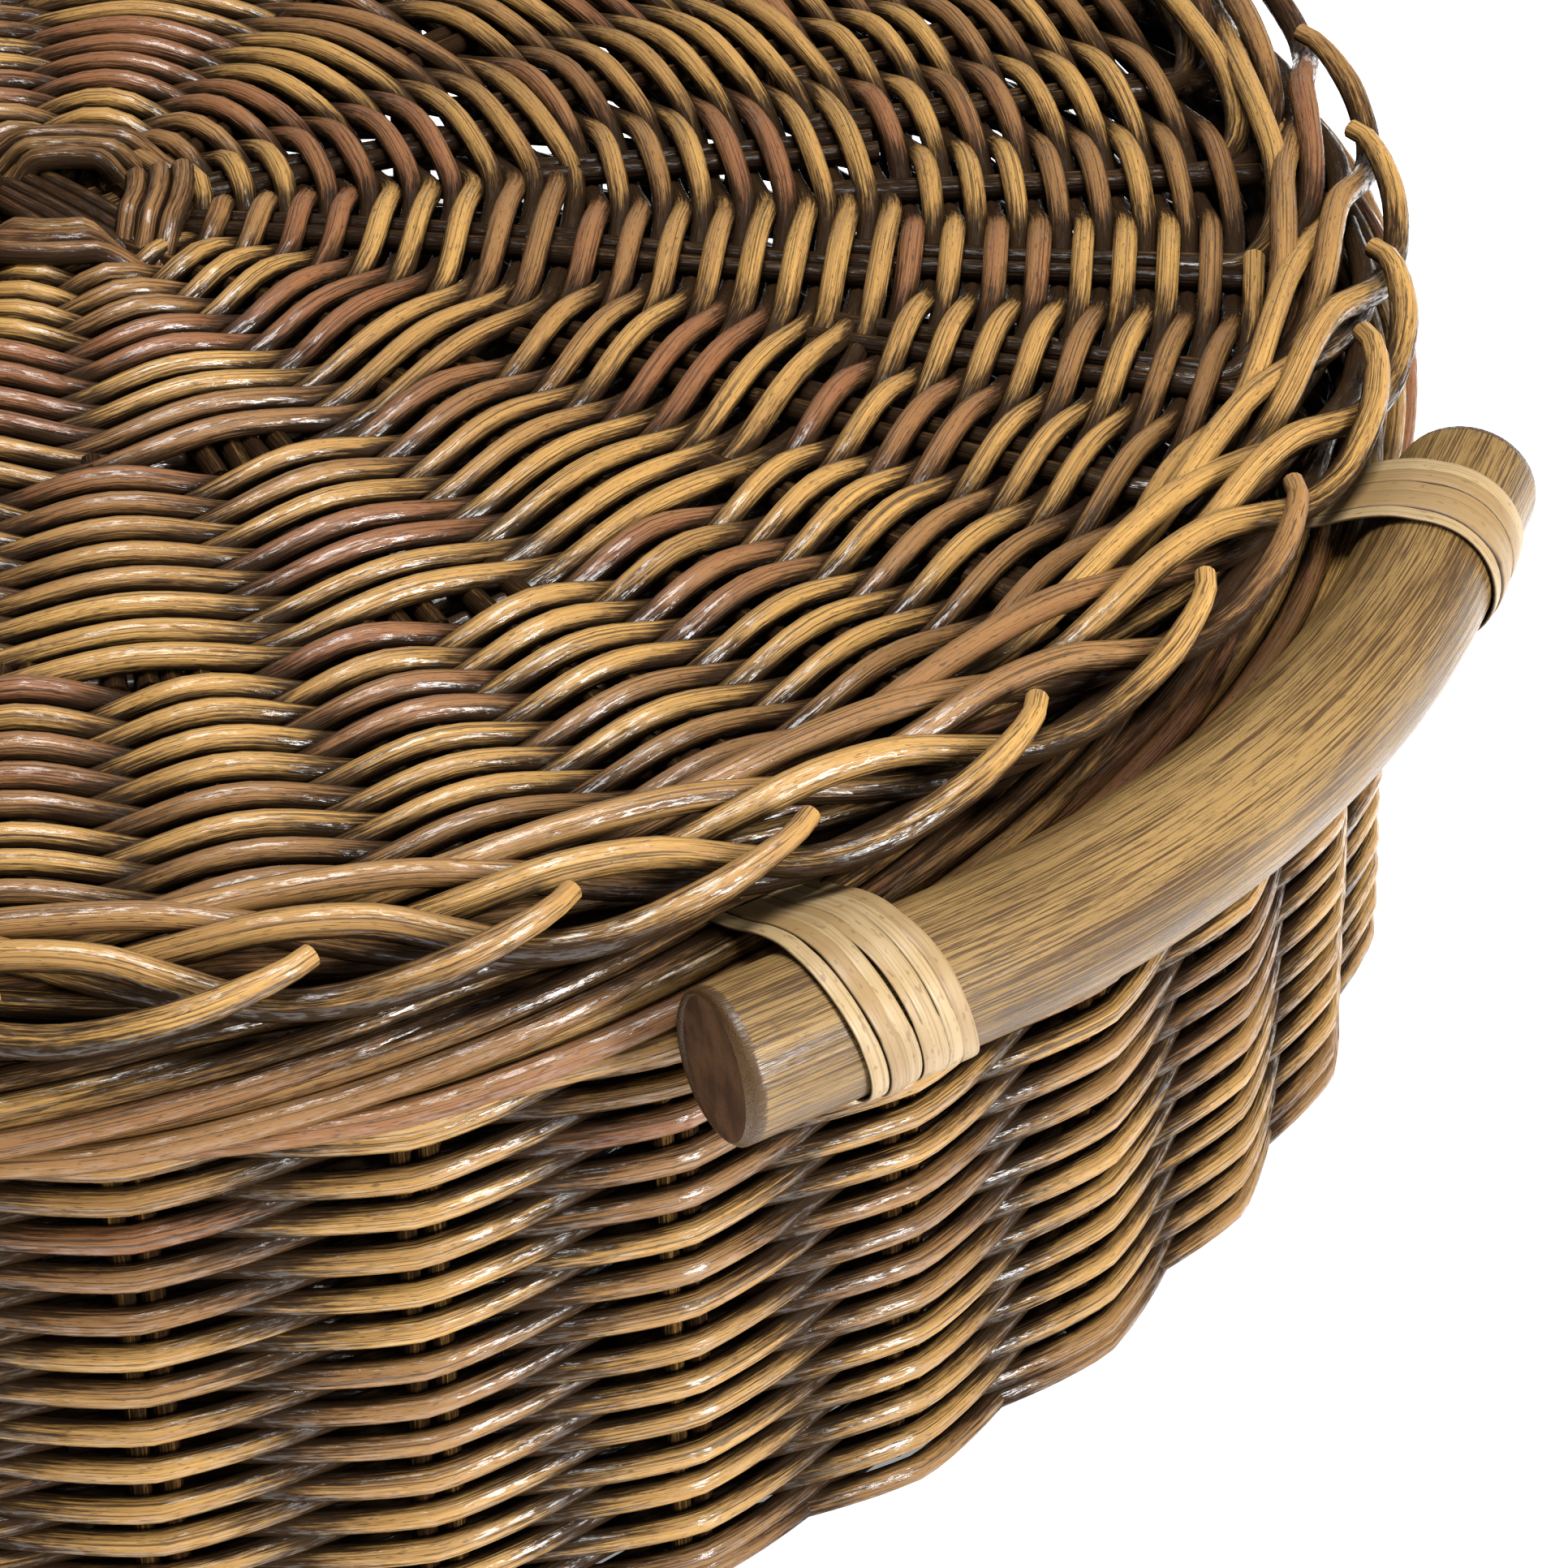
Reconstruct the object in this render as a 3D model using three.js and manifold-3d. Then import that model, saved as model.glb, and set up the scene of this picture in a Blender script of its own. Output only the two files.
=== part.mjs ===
// A round lidded basket of stained rattan core, with two bent cane handles bound on under the lid.
// Units are millimetres, +Z is up, and the origin is on the floor under the centre of the base.
// The basket opens upwards, the lid lifts straight off, and the handles lie along +X and -X.
import * as THREE from "three";
import { mergeVertices } from "three/addons/utils/BufferGeometryUtils.js";
import Module from "manifold-3d";

const wasm = await Module();
wasm.setup();

// Driving dimensions of the rattan.
const ROD = 4.8; // diameter of every weaver, stake and spoke
const GAP = 0.3; // clearance between pieces that touch
const WEAVE = 3 * ROD; // a weave is one rod outside, one stake and one rod inside
const PRESSED = 0.94; // rods pressed side by side sit this share of a diameter apart

// The round parts are all cut into the same number of flats, so that nested rings stay clear.
const FLATS = 72;
const WALL_COLUMNS = 36; // double stakes round the wall
const WALL_COLUMN_TURN = -3; // degrees from +X to the first column
const SPOKE_COLUMNS = 20; // spokes of the base and of the lid
const CROSS_RODS = 5; // rods in each layer of a cross, whose ends become the spokes

// Wall: its outside at the top, and how much wider it is at the floor.
const WALL_RADIUS = 271;
const WALL_HEIGHT = 118;
const WALL_FLARE = 3.5;
const STAKE_RADIUS = WALL_RADIUS - WEAVE / 2;
const STAKE_FOOT = 4;

// Base: a woven disc inside the foot of the wall.
const BASE_RADIUS = WALL_RADIUS - WEAVE - GAP;
const BASE_LIFT = 1.5;

// Rim border: the rolled edge on top of the wall.
const RIM_BOTTOM = WALL_HEIGHT + GAP;
const RIM_HEIGHT = 14;
const RIM_TOP = RIM_BOTTOM + RIM_HEIGHT;
const RIM_OUTSIDE = WALL_RADIUS + 0.2;
const RIM_INSIDE = 254.5; // where the rods tuck in over the top
const RIM_INSIDE_FOOT = 261.5; // where the stakes come up
const RIM_CORNER = 4;

// Lid: a woven disc, its rolled border, and the hoop that keeps it centred in the rim.
const LID_BOTTOM = RIM_TOP + GAP;
const LID_RADIUS = 275.5;
const LID_TOP = 153;
const LID_CREST = 262; // radius of the border's highest line
const LID_SHOULDER = 270;
const LID_WIDEST_HEIGHT = 147;
const LID_LIP_HEIGHT = 141.5;
const LID_CLEAR_OF_POLES = 266; // the border's underside stops short of the poles
const LID_WEAVE_RADIUS = 240;
const LID_WEAVE_TOP = LID_BOTTOM + WEAVE;
const WEAVE_HOLE = 20; // radius of the open middle, where the spokes cross
const CROSS_STRAIGHT = 16; // half the length over which the crossing rods lie side by side
const FAN_END = 59; // the rods have fanned out to their spoke directions here
const SPOKE_START = 47; // the rods are doubled from here outwards
const SPOKE_END = 236;
const HOOP_ROD = 8;
const HOOP_RADIUS = 246.5;
const HOOP_TIES = 4;
const TIE_WIDTH = 12;
const TIE_THICK = 1;
const TIE_OPENING = 40; // degrees each side of the gap where the tie goes up into the weave

// Handles: a bent cane pole, bound on near both ends.
const POLE = 27;
const POLE_HEIGHT = 126;
const POLE_AT_BINDING = 285.2; // from the basket's axis to the pole's axis
const BINDING_TURN = 17.5; // degrees each side of the handle's middle
const BINDING_WIDTH = 20;
const BINDING_THICK = 1.2;
const BINDING_OPENING = 34; // degrees each side of the gap where the strips go in through the wall
const POLE_STRAIGHT = 14; // straight stretch from a binding towards the middle
const POLE_STUB = 29.5; // from a binding's middle to the sawn end

// Finishes.
const WOVEN = { color: 0x8a6535, roughness: 0.42, metalness: 0 };
const STAKE = { color: 0x6b4a26, roughness: 0.5, metalness: 0 };
const CANE = { color: 0x8b6a38, roughness: 0.32, metalness: 0 };
const PEEL = { color: 0xc6a56c, roughness: 0.5, metalness: 0 };

const radians = THREE.MathUtils.degToRad;

function piece(name, geometry, finish) {
  const mesh = new THREE.Mesh(geometry, new THREE.MeshStandardMaterial(finish));
  mesh.name = name;
  return mesh;
}

// Joins and cuts: a geometry as a manifold solid, and back.
function toSolid(geometry) {
  const bare = geometry.index ? geometry.toNonIndexed() : geometry.clone();
  bare.deleteAttribute("normal");
  bare.deleteAttribute("uv");
  const merged = mergeVertices(bare, 1e-4);
  return new wasm.Manifold(
    new wasm.Mesh({
      numProp: 3,
      vertProperties: merged.attributes.position.array,
      triVerts: new Uint32Array(merged.index.array),
    }),
  );
}

function toGeometry(solid) {
  const mesh = solid.getMesh();
  const geometry = new THREE.BufferGeometry();
  geometry.setAttribute("position", new THREE.BufferAttribute(mesh.vertProperties, 3));
  geometry.setIndex(new THREE.BufferAttribute(mesh.triVerts, 1));
  geometry.computeVertexNormals();
  return geometry;
}

// A ring turned about Z from a closed profile of [radius, height], outer side going up.
function ring(profile) {
  const points = [...profile, profile[0]].map(([r, z]) => new THREE.Vector2(r, z));
  return new THREE.LatheGeometry(points, FLATS).rotateX(Math.PI / 2);
}

function roundLoop(radius, sides = FLATS) {
  return Array.from({ length: sides }, (_, i) => {
    const turn = (2 * Math.PI * i) / sides;
    return new THREE.Vector2(radius * Math.cos(turn), radius * Math.sin(turn));
  });
}

// Two rods side by side as one outline: long across X or Y, with rounded ends.
function pairOutline(rod, grow, acrossX) {
  const r = rod / 2 + grow;
  const half = (PRESSED * rod) / 2;
  const corner = r * Math.tan(Math.PI / 8); // an eight-sided end
  const outline = [
    [half + r, -corner],
    [half + r, corner],
    [half + corner, r],
    [-half - corner, r],
    [-half - r, corner],
    [-half - r, -corner],
    [-half - corner, -r],
    [half + corner, -r],
  ];
  return outline.map(([u, v]) =>
    acrossX ? new THREE.Vector2(u, v) : new THREE.Vector2(-v, u),
  );
}

// The wall leans out towards the floor.
function flare(geometry) {
  const place = geometry.attributes.position;
  for (let i = 0; i < place.count; i += 1) {
    const grow = 1 + (WALL_FLARE / WALL_RADIUS) * (1 - place.getZ(i) / WALL_HEIGHT);
    place.setX(i, place.getX(i) * grow);
    place.setY(i, place.getY(i) * grow);
  }
  return geometry;
}

function columnTurn(column) {
  return radians(WALL_COLUMN_TURN + (360 / WALL_COLUMNS) * column);
}

// The randed wall: a thick ring with a channel for each double stake.
function wallWeave() {
  const shape = new THREE.Shape(roundLoop(WALL_RADIUS));
  shape.holes.push(new THREE.Path(roundLoop(WALL_RADIUS - WEAVE).reverse()));
  const axis = new THREE.Vector2();
  const out = new THREE.Vector2(STAKE_RADIUS, 0);
  for (let column = 0; column < WALL_COLUMNS; column += 1) {
    const turn = columnTurn(column);
    const channel = pairOutline(ROD, GAP, false).map((p) => p.add(out).rotateAround(axis, turn));
    shape.holes.push(new THREE.Path(channel.reverse()));
  }
  return flare(new THREE.ExtrudeGeometry(shape, { depth: WALL_HEIGHT, bevelEnabled: false }));
}

function wallStake() {
  const out = new THREE.Vector2(STAKE_RADIUS, 0);
  const outline = pairOutline(ROD, 0, false).map((p) => p.add(out));
  const length = WALL_HEIGHT - GAP - STAKE_FOOT;
  const settings = { depth: length, bevelEnabled: false };
  const rods = new THREE.ExtrudeGeometry(new THREE.Shape(outline), settings);
  return flare(rods.translate(0, 0, STAKE_FOOT));
}

// One rod of a cross: straight through the middle, then bent out to its two spoke directions.
function crossRod(offset, turn, grow) {
  const route = [
    [-FAN_END * Math.cos(turn), FAN_END * Math.sin(turn)],
    [-CROSS_STRAIGHT, offset],
    [CROSS_STRAIGHT, offset],
    [FAN_END * Math.cos(turn), FAN_END * Math.sin(turn)],
  ].map(([x, y]) => new THREE.Vector3(x, y, 0));
  const path = new THREE.CurvePath();
  for (let i = 0; i < route.length - 1; i += 1) {
    path.add(new THREE.LineCurve3(route[i], route[i + 1]));
  }
  const outline = new THREE.Shape(roundLoop(ROD / 2 + grow, 8));
  const settings = { steps: 4, bevelEnabled: false, extrudePath: path };
  return toSolid(new THREE.ExtrudeGeometry(outline, settings));
}

// The double spoke that the rod's end becomes.
function spoke(turn, grow) {
  const outline = new THREE.Shape(pairOutline(ROD, grow, true));
  const settings = { depth: SPOKE_END + 2 * grow - SPOKE_START, bevelEnabled: false };
  const rods = new THREE.ExtrudeGeometry(outline, settings);
  rods.translate(0, 0, SPOKE_START).rotateX(Math.PI / 2).rotateZ(Math.PI / 2 + turn);
  return toSolid(rods);
}

// One layer of a cross: a bundle of rods whose ends fan out as spokes to both sides of X.
function crossLayer(grow) {
  const step = radians(360 / SPOKE_COLUMNS);
  let whole = null;
  for (let i = 0; i < CROSS_RODS; i += 1) {
    const place = i - (CROSS_RODS - 1) / 2;
    const turn = place * step;
    const rod = crossRod(place * PRESSED * ROD, turn, grow);
    for (const part of [rod, spoke(turn, grow), spoke(Math.PI - turn, grow)]) {
      whole = whole ? whole.add(part) : part;
    }
  }
  return whole;
}

function crossSolids(middle, grow) {
  const lower = crossLayer(grow).translate([0, 0, middle - ROD / 2 - GAP / 2]);
  const upper = crossLayer(grow)
    .rotate([0, 0, 90])
    .translate([0, 0, middle + ROD / 2 + GAP / 2]);
  return [lower, upper];
}

// A woven disc: an annulus with a channel for every spoke, open to the hole in its middle.
function wovenDisc(radius, bottom) {
  const top = bottom + WEAVE;
  const disc = toSolid(
    ring([
      [WEAVE_HOLE, bottom],
      [radius, bottom],
      [radius, top],
      [WEAVE_HOLE, top],
    ]),
  );
  const [lower, upper] = crossSolids(bottom + WEAVE / 2, GAP);
  return toGeometry(disc.subtract(lower).subtract(upper));
}

function wovenBottom(name, radius, bottom) {
  const group = new THREE.Group();
  const [lower, upper] = crossSolids(bottom + WEAVE / 2, 0);
  group.add(piece(`${name}_cross_lower`, toGeometry(lower), STAKE));
  group.add(piece(`${name}_cross_upper`, toGeometry(upper), STAKE));
  group.add(piece(`${name}_weave`, wovenDisc(radius, bottom), WOVEN));
  return group;
}

// The wall's rolled edge: the stakes bend outwards, lie along the wall and tuck in over the top.
function rimBorder() {
  return ring([
    [RIM_INSIDE_FOOT, RIM_BOTTOM],
    [RIM_OUTSIDE - 1, RIM_BOTTOM],
    [RIM_OUTSIDE, RIM_BOTTOM + RIM_CORNER],
    [RIM_OUTSIDE, RIM_TOP - RIM_CORNER],
    [RIM_OUTSIDE - RIM_CORNER, RIM_TOP],
    [RIM_INSIDE + 3, RIM_TOP],
    [RIM_INSIDE, RIM_TOP - RIM_CORNER],
  ]);
}

// The lid's rolled border, hollowed underneath so that it clears the poles and their bindings.
function lidBorder() {
  const inside = LID_WEAVE_RADIUS + GAP;
  return ring([
    [inside, LID_BOTTOM],
    [LID_CLEAR_OF_POLES, LID_BOTTOM],
    [LID_RADIUS - 0.5, LID_LIP_HEIGHT],
    [LID_RADIUS, LID_WIDEST_HEIGHT],
    [LID_SHOULDER, LID_TOP - 1],
    [LID_CREST, LID_TOP],
    [inside, LID_WEAVE_TOP + 1],
  ]);
}

function lidHoop() {
  const middle = LID_BOTTOM - GAP - HOOP_ROD / 2;
  const section = roundLoop(HOOP_ROD / 2, 6).map((p) => [HOOP_RADIUS + p.x, middle + p.y]);
  return ring(section);
}

// A strip bent most of the way round a rod, open on the side of the angle it faces.
function openBand(inner, thick, opening, width) {
  const half = radians(opening);
  const shape = new THREE.Shape();
  shape.absarc(0, 0, inner + thick, half, 2 * Math.PI - half, false);
  shape.absarc(0, 0, inner, 2 * Math.PI - half, half, true);
  const settings = { depth: width, bevelEnabled: false, curveSegments: 8 };
  return new THREE.ExtrudeGeometry(shape, settings).translate(0, 0, -width / 2);
}

function hoopTie(index) {
  const band = openBand(HOOP_ROD / 2 + GAP, TIE_THICK, TIE_OPENING, TIE_WIDTH);
  // The opening faces up, and the strip's width runs along the hoop.
  band.rotateZ(Math.PI / 2).rotateX(Math.PI / 2);
  const tie = piece(`lid_hoop_tie_${index + 1}`, band, PEEL);
  const turn = radians(45) + (2 * Math.PI * index) / HOOP_TIES;
  const middle = LID_BOTTOM - GAP - HOOP_ROD / 2;
  tie.position.set(HOOP_RADIUS * Math.cos(turn), HOOP_RADIUS * Math.sin(turn), middle);
  tie.rotation.z = turn;
  return tie;
}

// The pole's centre line: straight past both bindings, and one arc between them.
function poleRoute() {
  const turn = radians(BINDING_TURN);
  const along = new THREE.Vector3(-Math.sin(turn), Math.cos(turn), 0);
  const out = new THREE.Vector3(Math.cos(turn), Math.sin(turn), 0);
  const binding = out.multiplyScalar(POLE_AT_BINDING);
  const arcEnd = binding.clone().addScaledVector(along, -POLE_STRAIGHT);
  const end = binding.clone().addScaledVector(along, POLE_STUB);
  const arcRadius = arcEnd.y / Math.sin(turn);
  const arcCentre = arcEnd.x - arcRadius * Math.cos(turn);
  const points = [end, binding];
  const steps = 4;
  for (let step = steps; step >= -steps; step -= 1) {
    const a = (turn * step) / steps;
    points.push(new THREE.Vector3(arcCentre + arcRadius * Math.cos(a), arcRadius * Math.sin(a), 0));
  }
  points.push(binding.clone().setY(-binding.y), end.clone().setY(-end.y));
  return new THREE.CatmullRomCurve3(points);
}

function pole() {
  const outline = new THREE.Shape(roundLoop(POLE / 2, 14));
  const settings = { steps: 14, bevelEnabled: false, extrudePath: poleRoute() };
  return new THREE.ExtrudeGeometry(outline, settings);
}

function handleBinding(name, side) {
  const band = openBand(POLE / 2 + GAP, BINDING_THICK, BINDING_OPENING, BINDING_WIDTH);
  // The opening faces the wall, and the strip's width runs along the pole.
  band.rotateZ(Math.PI).rotateX(Math.PI / 2);
  const strip = piece(name, band, PEEL);
  const turn = radians(side * BINDING_TURN);
  strip.position.set(POLE_AT_BINDING * Math.cos(turn), POLE_AT_BINDING * Math.sin(turn), 0);
  strip.rotation.z = turn;
  return strip;
}

function handle(name) {
  const group = new THREE.Group();
  group.add(piece(`${name}_pole`, pole(), CANE));
  group.add(handleBinding(`${name}_binding_a`, 1));
  group.add(handleBinding(`${name}_binding_b`, -1));
  group.position.z = POLE_HEIGHT;
  return group;
}

function basketBody() {
  const group = new THREE.Group();
  group.add(wovenBottom("base", BASE_RADIUS, BASE_LIFT));
  group.add(piece("wall_weave", wallWeave(), WOVEN));
  for (let column = 0; column < WALL_COLUMNS; column += 1) {
    const stake = piece(`wall_stake_${String(column + 1).padStart(2, "0")}`, wallStake(), STAKE);
    stake.rotation.z = columnTurn(column);
    group.add(stake);
  }
  group.add(piece("rim_border", rimBorder(), WOVEN));
  const right = handle("handle_right");
  const left = handle("handle_left");
  left.rotation.z = Math.PI;
  group.add(right, left);
  return group;
}

function lid() {
  const group = new THREE.Group();
  group.add(wovenBottom("lid", LID_WEAVE_RADIUS, LID_BOTTOM));
  group.add(piece("lid_border", lidBorder(), WOVEN));
  group.add(piece("lid_hoop", lidHoop(), STAKE));
  for (let index = 0; index < HOOP_TIES; index += 1) {
    group.add(hoopTie(index));
  }
  return group;
}

const basket = new THREE.Group();
basket.add(basketBody(), lid());

export default basket;
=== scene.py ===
# A round lidded basket of stained rattan core, with two bent cane handles bound on with rattan peel.
# Units are metres. Sizes are written in millimetres times MM, and angles in degrees.
import math

import bpy
import numpy as np
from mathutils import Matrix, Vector


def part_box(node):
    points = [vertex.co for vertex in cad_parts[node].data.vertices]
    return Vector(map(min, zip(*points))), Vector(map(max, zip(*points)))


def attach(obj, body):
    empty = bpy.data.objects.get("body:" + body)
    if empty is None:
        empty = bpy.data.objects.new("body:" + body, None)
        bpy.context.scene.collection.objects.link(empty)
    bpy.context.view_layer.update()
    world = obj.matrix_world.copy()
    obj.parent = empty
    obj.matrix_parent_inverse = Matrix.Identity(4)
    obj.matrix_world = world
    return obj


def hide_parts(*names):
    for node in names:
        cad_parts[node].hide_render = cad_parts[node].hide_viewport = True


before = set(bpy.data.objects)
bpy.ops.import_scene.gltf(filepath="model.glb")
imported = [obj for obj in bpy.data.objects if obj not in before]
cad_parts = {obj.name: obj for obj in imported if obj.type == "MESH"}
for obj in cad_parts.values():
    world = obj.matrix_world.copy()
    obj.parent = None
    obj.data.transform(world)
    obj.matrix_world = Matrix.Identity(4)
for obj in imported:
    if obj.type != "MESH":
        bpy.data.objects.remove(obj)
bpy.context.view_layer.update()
# Plain display colours, so that a white floor comes out white.
bpy.context.scene.view_settings.view_transform = "Standard"

MM = 0.001
rng = np.random.default_rng(11)

# ---------------------------------------------------------------- sizes of the rattan
ROD = 4.8 * MM  # thickness of weavers and stakes
COLUMNS = 36  # upright columns in the wall, and spokes at the lid's edge
WALL_FIRST = -3.0  # degrees from +X to the wall's first column
LID_EDGE_FIRST = 3.4  # degrees from +X to a column at the lid's edge
WALL_RADIUS = 264.2 * MM  # the circle the stakes stand on, at the wall's top
WALL_FLARE = 3.5 * MM  # how much further out it is at the floor
WALL_TOP = 119.5 * MM
WALL_PITCH = 8.0 * MM  # rise of one weaver in a full turn
LID_PITCH = 8.5 * MM
BASE_PITCH = 5.2 * MM
LID_MIDDLE = 139.9 * MM  # height of the middle of the lid's weave
BASE_MIDDLE = 8.8 * MM
LID_WEAVE_END = 241.5 * MM
BASE_WEAVE_END = 254 * MM
WEAVE_START = 19 * MM

# The lid's columns: twelve groups by the cross, then twenty, then thirty-six.
STAGES = ((12, 33.0), (20, 32.0), (36, LID_EDGE_FIRST))
STAGE_ENDS = (101 * MM, 164 * MM)
STAGE_SWITCH = 150.0  # degrees, where a weaver meets the next set of columns
# The lid's weave was begun a little off the middle, and comes back to it as it grows.
LID_OFF = np.array([-1.7, 6.3, 0.0]) * MM
BASE_OFF = np.array([1.5, -2.0, 0.0]) * MM

# ---------------------------------------------------------------- small helpers


def turned(radius, degrees, height):
    """The points at a radius and height, turned by degrees from +X."""
    a = np.radians(degrees)
    return np.stack([radius * np.cos(a), radius * np.sin(a), height + 0 * a], -1)


def unit(v):
    return v / np.maximum(np.linalg.norm(v, axis=-1, keepdims=True), 1e-12)


def smooth(low, high, x):
    """0 up to low, 1 from high, and an eased step between them."""
    t = np.clip((x - low) / (high - low), 0, 1)
    return t * t * (3 - 2 * t)


def off_middle(path, off):
    """Moves a disc's strands by off at its middle, less further out, and not at all near its edge."""
    far = np.hypot(path[:, 0], path[:, 1])
    return path + off * (1 - smooth(40 * MM, 200 * MM, far))[:, None]


def wander(x, step, size):
    """A slow random drift along x: random heights every step, joined smoothly."""
    low = math.floor(float(np.min(x)) / step) - 1
    count = int(float(np.max(x)) / step) - low + 4
    heights = rng.uniform(-size, size, count)
    t = np.asarray(x) / step - low
    i = np.floor(t).astype(int)
    f = t - i
    f = f * f * (3 - 2 * f)
    return heights[i] * (1 - f) + heights[i + 1] * f


def curve(points, count):
    """A smooth line through the points, cut into count even steps."""
    p = np.asarray(points, float)
    p = np.vstack([2 * p[0] - p[1], p, 2 * p[-1] - p[-2]])
    fine = []
    for a, b, c, d in zip(p, p[1:], p[2:], p[3:]):
        t = np.linspace(0, 1, 12, endpoint=False)[:, None]
        fine.append(0.5 * (2 * b + (c - a) * t + (2 * a - 5 * b + 4 * c - d) * t**2
                           + (3 * b - a - 3 * c + d) * t**3))
    fine = np.vstack([*fine, p[-2:-1]])
    far = np.concatenate([[0], np.cumsum(np.linalg.norm(np.diff(fine, axis=0), axis=1))])
    at = np.linspace(0, far[-1], count)
    return np.stack([np.interp(at, far, fine[:, k]) for k in range(3)], -1)


class Strands:
    """Collects rods and strips into one mesh, with how each point lies on its own straight strand."""

    def __init__(self):
        self.points, self.faces, self.straight, self.tone, self.stain_and_shade = [], [], [], [], []
        self.count = 0

    def add(self, path, outward, radius, tone, crown, sides=10, flat=1.0, darkest=9 * MM,
            bias=0.0, under=0.35, square=1.0):
        """A rod along path. outward is the way its good side faces, and crown how far each point of
        the path is below the level that the wiping cloth reached when the stain was rubbed back, and
        so how deep it lies in the weave. Points are painted darker the deeper they lie and on the side
        facing away from outward: partly the stain left in the hollows, and partly painted shade down
        in the weave and on the hidden side. The darkening is full at the depth darkest, with bias more
        all over and under more painted shade on the hidden side. flat is thickness over width, and
        square under 1 squares the section off."""
        path = np.asarray(path, float)
        n = len(path)
        along = unit(np.gradient(path, axis=0))
        outward = np.broadcast_to(outward, path.shape)
        up = unit(outward - (outward * along).sum(-1, keepdims=True) * along)
        side = np.cross(along, up)
        radius = np.broadcast_to(radius, (n,))
        a = 2 * np.pi * np.arange(sides) / sides
        c, s = np.cos(a), np.sin(a)
        high = (np.sign(c) * np.abs(c) ** square * flat)[None, :, None]
        wide = (np.sign(s) * np.abs(s) ** square)[None, :, None]
        ring = (up[:, None] * high + side[:, None] * wide) * radius[:, None, None]
        points = (path[:, None] + ring).reshape(-1, 3)
        far = np.concatenate([[0], np.cumsum(np.linalg.norm(np.diff(path, axis=0), axis=1))])
        start = rng.uniform(0, 40)
        x0, y0 = rng.uniform(-1, 1, 2)
        straight = np.stack([
            (radius[:, None] * c[None]) + x0,
            (radius[:, None] * s[None]) + y0,
            np.repeat(far[:, None], sides, 1) + start], -1).reshape(-1, 3)
        # Stain and painted shade: the deeper a point lies and the more it faces away, the darker it is
        # painted.
        depth = np.broadcast_to(crown, (n,))[:, None] + radius[:, None] * (1 - c[None] * flat)
        facing = c[None] + 0 * depth
        stain_and_shade = np.clip(depth / darkest + under * (0.5 - 0.5 * facing) + bias, 0, 1).reshape(-1)
        base = self.count
        i = np.arange(n - 1)[:, None] * sides
        j = np.arange(sides)[None]
        k = (j + 1) % sides
        quads = np.stack([i + j, i + k, i + sides + k, i + sides + j], -1).reshape(-1, 4) + base
        self.points.append(points)
        self.straight.append(straight)
        self.stain_and_shade.append(stain_and_shade)
        self.tone.append(np.repeat(np.broadcast_to(tone, (n,)), sides))
        self.faces.append(quads)
        self.count += len(points)
        self.cap(points[:sides][::-1], straight[:sides][::-1], tone, stain_and_shade[:sides][::-1])
        self.cap(points[-sides:], straight[-sides:], tone, stain_and_shade[-sides:])

    def cap(self, ring, straight, tone, stain_and_shade):
        """A cut end: a fan round a middle point, with its own points so that its edge stays sharp."""
        sides = len(ring)
        tone = float(np.mean(tone))
        base = self.count
        self.points += [ring, ring.mean(0)[None]]
        self.straight += [straight, straight.mean(0)[None]]
        self.tone.append(np.full(sides + 1, tone))
        self.stain_and_shade.append(np.concatenate([np.maximum(stain_and_shade, 0.25), [0.35]]))
        j = np.arange(0, sides, 2)
        rim = base + np.stack([j, (j + 1) % sides, (j + 2) % sides], -1)
        self.faces.append(np.column_stack([rim, np.full(len(j), base + sides)]))
        self.count += sides + 1

    def piece(self, name, material, body, slot, nodes):
        """Makes the mesh an object that moves with a body and stands for CAD nodes."""
        points = np.vstack(self.points)
        faces = np.vstack(self.faces)
        mesh = bpy.data.meshes.new(name)
        mesh.vertices.add(len(points))
        mesh.vertices.foreach_set("co", points.astype(np.float32).ravel())
        mesh.loops.add(faces.size)
        mesh.loops.foreach_set("vertex_index", faces.astype(np.int32).ravel())
        mesh.polygons.add(len(faces))
        mesh.polygons.foreach_set("loop_start", np.arange(0, faces.size, 4, dtype=np.int32))
        mesh.polygons.foreach_set("use_smooth", np.ones(len(faces), bool))
        mesh.update(calc_edges=True)
        for label, kind, values in (
            ("straight", "FLOAT_VECTOR", np.vstack(self.straight)),
            ("tone", "FLOAT", np.concatenate(self.tone)),
            ("stain_and_shade", "FLOAT", np.concatenate(self.stain_and_shade)),
        ):
            made = mesh.attributes.new(label, kind, "POINT")
            key = "vector" if kind == "FLOAT_VECTOR" else "value"
            made.data.foreach_set(key, values.astype(np.float32).ravel())
        mesh.validate()
        mesh.materials.append(material)
        made = bpy.data.objects.new(name, mesh)
        bpy.context.scene.collection.objects.link(made)
        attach(made, body)
        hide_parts(*nodes)
        return made


def wave(turn, flatness):
    """Over one column and under the next: +1 over, -1 under, with turn in columns.
    flatness is how much of it is straight lines, as a stiff rod takes."""
    c = np.cos(np.pi * turn)
    straight = 1 - 2 * np.abs((turn + 1) % 2 - 1)
    return (1 - flatness) * c + flatness * straight


# ---------------------------------------------------------------- materials

EASED = {"interpolation_type": "SMOOTHSTEP"}


def colour(code):
    """An sRGB hex code as linear red, green and blue."""
    parts = [int(code[i:i + 2], 16) / 255 for i in (1, 3, 5)]
    return tuple(p / 12.92 if p <= 0.04045 else ((p + 0.055) / 1.055) ** 2.4 for p in parts) + (1.0,)


def put(tree, kind, inputs=None, give=0, **settings):
    """Adds a node with its settings, its inputs as values or other nodes' outputs, and gives one output."""
    made = tree.nodes.new("ShaderNode" + kind)
    for key, value in settings.items():
        setattr(made, key, value)
    for key, value in (inputs or {}).items():
        if isinstance(value, bpy.types.NodeSocket):
            tree.links.new(value, made.inputs[key])
        else:
            made.inputs[key].default_value = value
    return made.outputs[give] if made.outputs else None


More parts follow.
